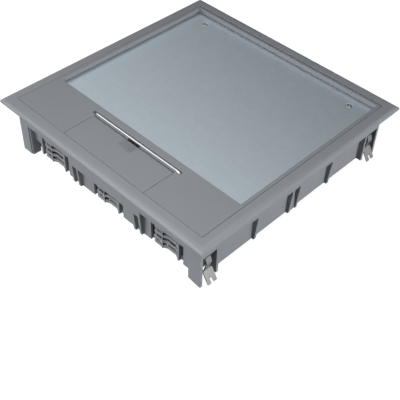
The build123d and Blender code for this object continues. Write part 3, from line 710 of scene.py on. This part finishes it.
# %% Centre screw of a socket
WELL_DEPTH = 17.5 * MM
CENTRE_SCREW_R = 2.9 * MM
CENTRE_SCREW_HEIGHT = 1.3 * MM
CENTRE_SCREW_SUNK = 0.1 * MM
first = middle("socket_left_1")
well_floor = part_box("socket_left_1")[1].z - WELL_DEPTH
screw_z = well_floor + CENTRE_SCREW_HEIGHT / 2 - CENTRE_SCREW_SUNK
centre_screw = new_piece("centre_screw_left_1", bpy.ops.mesh.primitive_cylinder_add, vertices=32,
                         radius=CENTRE_SCREW_R, depth=CENTRE_SCREW_HEIGHT,
                         location=(first.x, first.y, screw_z))
edit(centre_screw)
round_top(centre_screw, radius=0.4 * MM, segments=3)
bpy.ops.object.mode_set(mode="OBJECT")
cross_recess(centre_screw, (first.x, first.y, well_floor + CENTRE_SCREW_HEIGHT),
             reach=1.7 * MM, width=0.7 * MM, depth=0.8 * MM)
close_piece(centre_screw)
print("centre screw", len(centre_screw.data.polygons), "faces")

# %% Shutters behind the pin holes, and both in every socket
PIN_SPACING = 19 * MM
SHUTTER_R = 2.4 * MM
SHUTTER_THICK = 1.6 * MM
SHUTTER_DOWN = 2.6 * MM
SHUTTER_SLOPE = math.radians(18)
halves = []
for side in (-1, 1):
    place = Vector((first.x + side * PIN_SPACING / 2, first.y, well_floor - SHUTTER_DOWN))
    half = new_piece("shutter", bpy.ops.mesh.primitive_cylinder_add, vertices=24, radius=SHUTTER_R,
                     depth=SHUTTER_THICK, location=place)
    edit(half)
    round_top(half, radius=0.2 * MM, segments=2)
    pick_faces(half, lambda centre, normal: centre.z > place.z + SHUTTER_THICK / 4)
    bpy.ops.transform.rotate(value=SHUTTER_SLOPE * side, orient_axis="Y", center_override=place)
    bpy.ops.object.mode_set(mode="OBJECT")
    halves.append(half)
shutters = close_piece(join("shutters_left_1", *halves))
for node in nodes_of("socket_"):
    shift = middle(node) - first
    number = node[len("socket_"):]
    for piece, slot in ((centre_screw, "zinc_steel"), (shutters, "insert_plastic")):
        name = piece.name.replace("left_1", number)
        made = piece if name == piece.name else copy_to(piece, name, shift)
        finished(made, slot, body_of(node))
print("shutters", len(shutters.data.polygons), "faces, in", len(nodes_of("socket_")), "sockets")

# %% [markdown]
# A data port is a frame with an eight-wire jack clipped into it. The jack is a block with a hollow, a notch
# for the plug's latch, and eight sprung contacts that slope into the hollow. One jack and one row of
# contacts are modelled, and the other five ports get copies.

# %% The jack of a data port
PORT_SPACING = 22.4 * MM
JACK_SIZE = (14.4 * MM, 12.4 * MM, 12.4 * MM)
JACK_SUNK = 0.5 * MM
MOUTH_RIM = 1.4 * MM
MOUTH_DEPTH = 9 * MM
LATCH_WIDTH, LATCH_REACH = 5.6 * MM, 1.6 * MM
outlet = middle("data_outlet_left")
port = Vector((outlet.x - PORT_SPACING / 2, outlet.y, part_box("data_outlet_left")[1].z - JACK_SUNK))
jack = new_piece("jack_left_1", bpy.ops.mesh.primitive_cube_add, size=1,
                 location=port - Vector((0, 0, JACK_SIZE[2] / 2)), scale=JACK_SIZE)
edit(jack)
pick_top(jack)
bpy.ops.mesh.inset(thickness=MOUTH_RIM)
pull(0, 0, -MOUTH_DEPTH)
bpy.ops.object.mode_set(mode="OBJECT")
latch_notch = new_piece("latch_notch", bpy.ops.mesh.primitive_cube_add, size=1,
                        location=port + Vector((0, -JACK_SIZE[1] / 2 + MOUTH_RIM, 0)),
                        scale=(LATCH_WIDTH, LATCH_REACH, 2 * MOUTH_DEPTH))
cut_away(jack, latch_notch)
soften(jack, radius=0.2 * MM)
print("jack", len(jack.data.polygons), "faces")

# %% Its eight contacts, and both in every port
CONTACT_PITCH = 1.02 * MM
CONTACT_SIZE = (0.42 * MM, 0.3 * MM, 8.6 * MM)
CONTACT_BACK, CONTACT_DOWN = 1.6 * MM, 4.6 * MM
CONTACT_SLOPE = math.radians(32)
blades = []
for wire_number in range(8):
    place = port + Vector(((wire_number - 3.5) * CONTACT_PITCH, CONTACT_BACK, -CONTACT_DOWN))
    blade = new_piece("contact", bpy.ops.mesh.primitive_cube_add, size=1, location=place,
                      scale=CONTACT_SIZE)
    edit(blade)
    bpy.ops.transform.rotate(value=CONTACT_SLOPE, orient_axis="X", center_override=place)
    bpy.ops.mesh.bevel(offset=0.08 * MM, segments=1, affect="EDGES")
    bpy.ops.object.mode_set(mode="OBJECT")
    blades.append(blade)
contacts = close_piece(join("contacts_left_1", *blades))
for node in nodes_of("data_outlet_"):
    side = node[len("data_outlet_"):]
    for number in (1, 2):
        shift = middle(node) - outlet + Vector(((number - 1) * PORT_SPACING, 0, 0))
        for piece, slot in ((jack, "tray_plastic"), (contacts, "contact_brass")):
            name = piece.name.replace("left_1", f"{side}_{number}")
            made = piece if name == piece.name else copy_to(piece, name, shift)
            finished(made, slot, body_of(node))
print("contacts", len(contacts.data.polygons), "faces, in", 2 * len(nodes_of("data_outlet_")), "ports")

# %% [markdown]
# ## Floor
#
# The floor is a plain pale sheet that takes the box's shadow. It also glows, but only for the camera and,
# more weakly, in what metal mirrors, so the glow puts no light on the box. The glow stops under the box,
# which is painted shade: what shows through its windows is dark. This painted-shade patch is moved a
# little to the back left, because the camera looks under the walls from the front right.

# %% Floor
FLOOR_SIZE = 8.0
FLOOR_GAP = 0.05 * MM
FLOOR_GREY = (0.3, 0.3, 0.3, 1)
FLOOR_GLOW = 0.92
GLOW_IN_MIRRORS = 0.2
# Painted shade: the floor's glow is cut off in a square under the box, so the floor there is dark.
PAINTED_SHADE_HALF = cad_high.x - 21 * MM
PAINTED_SHADE_SHIFT = (-4 * MM, 4 * MM)
WHITE = (1, 1, 1, 1)


def seen_directly(shade, in_mirrors=1.0):
    """1 for rays from the camera and through glass, another share in a mirror, 0 for light on the box."""
    kinds = ("Is Camera Ray", "Is Glossy Ray", "Is Transmission Ray")
    camera_ray, glossy_ray, clear_ray = [shade.add("ShaderNodeLightPath", output=kind) for kind in kinds]
    return camera_ray + glossy_ray * in_mirrors + clear_ray


bpy.ops.mesh.primitive_plane_add(size=FLOOR_SIZE, location=(0, 0, cad_low.z - FLOOR_GAP))
floor = bpy.context.object
floor.name = "pale_floor"
material, shade = new_material("pale_floor")
place = shade.add("ShaderNodeTexCoord", output="Object")
beyond = []
for axis in (0, 1):
    along = shade.add("ShaderNodeSeparateXYZ", inputs={0: place}, output=axis)
    beyond.append((along - PAINTED_SHADE_SHIFT[axis]).magnitude().above(PAINTED_SHADE_HALF))
# The glow is cut off under the box, which paints shade into the floor there.
glow = seen_directly(shade, GLOW_IN_MIRRORS) * beyond[0].either(beyond[1]) * FLOOR_GLOW
matt = shade.add("ShaderNodeBsdfDiffuse", inputs={"Color": FLOOR_GREY})
bright = shade.add("ShaderNodeEmission", inputs={"Color": WHITE, "Strength": glow})
both = shade.add("ShaderNodeAddShader", inputs={0: matt, 1: bright})
shade.add("ShaderNodeOutputMaterial", inputs={"Surface": both})
floor.data.materials.append(material)
floor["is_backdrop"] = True
print("floor", FLOOR_SIZE, "m, dark under the box for", round(2 * PAINTED_SHADE_HALF / MM), "mm")

# %% [markdown]
# ## World
#
# The world is white to the camera and gives almost no light itself. What metal mirrors is a room of its
# own. It is brightest between straight overhead and the front, dimmer low down, and dark towards the back.
# The plate gets its slow change of tone from that, and the round wire its one white line. A low window at
# the right gives the feet of the clamps their light tone. Each part of the room is a slope along one axis,
# held between two limits.

# %% World
WORLD_LIGHT = 0.05
ROOM_DARKEST, ROOM_BRIGHTEST = 0.03, 1.4
LOW_SHARE, ZENITH_SHARE, FRONT_SHARE = 0.25, 0.6, 0.4
WINDOW_BRIGHTNESS = 1.3
world = bpy.data.worlds.new("studio")
world.use_nodes = True
world.node_tree.nodes.clear()
bpy.context.scene.world = world
shade = Shade(world.node_tree)
direction = shade.add("ShaderNodeTexCoord", output="Generated")
to_right, to_back, upwards = [
    shade.add("ShaderNodeSeparateXYZ", inputs={0: direction}, output=axis) for axis in range(3)
]
above_horizon = (upwards * 3.0 - 0.9).between(LOW_SHARE, 1.0)
below_zenith = (2.6 - upwards * 2.0).between(ZENITH_SHARE, 1.0)
not_in_front = (to_back * 1.6 + 1.5).between(FRONT_SHARE, 1.0)
low_down = (1 - upwards.magnitude() * 3.0).between(0.0, 1.0)
window = (to_right * 3.0 - 1.7).between(0.0, WINDOW_BRIGHTNESS) * low_down
slope = 0.93 - to_right * 0.4 - to_back * 3.2 + upwards * 2.1
room = slope.between(ROOM_DARKEST, ROOM_BRIGHTEST) * above_horizon * below_zenith * not_in_front + window


def background(strength):
    """White light of this strength from all round."""
    return shade.add("ShaderNodeBackground", inputs={"Color": WHITE, "Strength": strength})


in_a_mirror = shade.add("ShaderNodeLightPath", output="Is Glossy Ray")
seen = shade.add("ShaderNodeMixShader", inputs={0: in_a_mirror, 1: background(1.0), 2: background(room)})
surroundings = shade.add("ShaderNodeMixShader",
                         inputs={0: seen_directly(shade), 1: background(WORLD_LIGHT), 2: seen})
shade.add("ShaderNodeOutputWorld", inputs={"Surface": surroundings})
print("world:", len(world.node_tree.nodes), "nodes")

# %% [markdown]
# ## Lamps
#
# The picture was lit from two sides that the camera does not stand on: a large soft box beyond the front
# left corner, and a smaller one to the right. Each wall that shows faces one of them, so both walls are
# bright, while every small face that looks at the camera, such as a rib's side, stays dark. These two are
# kept out of mirrors, where they would be white blots on the plate and the clamps. A faint one fills in
# from behind, and a small lamp stands near the front edge, which is why the top darkens towards the hinge.

# %% Lamps
centre = (cad_low + cad_high) / 2


def direction_to(azimuth, elevation):
    """The unit vector towards a place round the box, in degrees: azimuth 0 is in front, 90 to the right."""
    turn, rise = math.radians(azimuth), math.radians(elevation)
    return Vector((math.sin(turn) * math.cos(rise), -math.cos(turn) * math.cos(rise), math.sin(rise)))


def soft_box(name, azimuth, elevation, distance, size, power, in_mirrors=True):
    """A square lamp that faces the box from this side."""
    back = direction_to(azimuth, elevation)
    data = bpy.data.lights.new(name, "AREA")
    data.size = size
    data.energy = power
    lamp = bpy.data.objects.new(name, data)
    bpy.context.scene.collection.objects.link(lamp)
    lamp.location = centre + back * distance
    lamp.rotation_mode = "QUATERNION"
    lamp.rotation_quaternion = back.to_track_quat("Z", "Y")
    lamp.visible_glossy = in_mirrors
    print(name, power, "W at", [round(v, 2) for v in lamp.location], "m")


soft_box("front_left_soft_box", azimuth=-38, elevation=10, distance=1.8, size=1.3, power=33,
         in_mirrors=False)
soft_box("back_right_soft_box", azimuth=140, elevation=24, distance=1.8, size=1.3, power=2)
soft_box("right_soft_box", azimuth=103, elevation=6, distance=1.2, size=0.6, power=16,
         in_mirrors=False)
soft_box("near_lamp_over_the_front", azimuth=12, elevation=53, distance=0.48, size=0.35, power=1.5)

# %% [markdown]
# ## Camera
#
# The camera stands where the picture was taken from: about half a metre off a front corner and as high
# above, tipped by two degrees. Its place and lens were worked out from the corners of the flange and the
# lid.

# %% Camera
AZIMUTH = 43.185
ELEVATION = 45.031
ROLL = math.radians(2.249)
DISTANCE = 622.42 * MM
AIM = Vector((88.231 * MM, -90.199 * MM, 58 * MM))
FRAME_PIXELS = 400
FOCAL_PIXELS = 762.44
back = direction_to(AZIMUTH, ELEVATION)
level = Vector((math.cos(math.radians(AZIMUTH)), math.sin(math.radians(AZIMUTH)), 0))
upright = back.cross(level)
right = math.cos(ROLL) * level + math.sin(ROLL) * upright
up = math.cos(ROLL) * upright - math.sin(ROLL) * level
camera_data = bpy.data.cameras.new("camera")
camera_data.lens = camera_data.sensor_width * FOCAL_PIXELS / FRAME_PIXELS
camera = bpy.data.objects.new("camera", camera_data)
bpy.context.scene.collection.objects.link(camera)
turn = Matrix((right, up, back)).transposed().to_4x4()
camera.matrix_world = Matrix.Translation(AIM + back * DISTANCE) @ turn
bpy.context.scene.camera = camera
bpy.context.scene.view_settings.view_transform = "Standard"
print("camera lens", round(camera_data.lens, 1), "mm")

# %% [markdown]
# ## How far the model reaches
#
# The dressed model's box is held against the CAD model's box, and how far it reaches beyond it on each side
# is printed. The dressed model may not outgrow the CAD model.

# %% Sizes, and the end
low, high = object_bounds()
print("grown by", [round(v / MM, 2) for v in (*(cad_low - low), *(high - cad_high))], "mm")
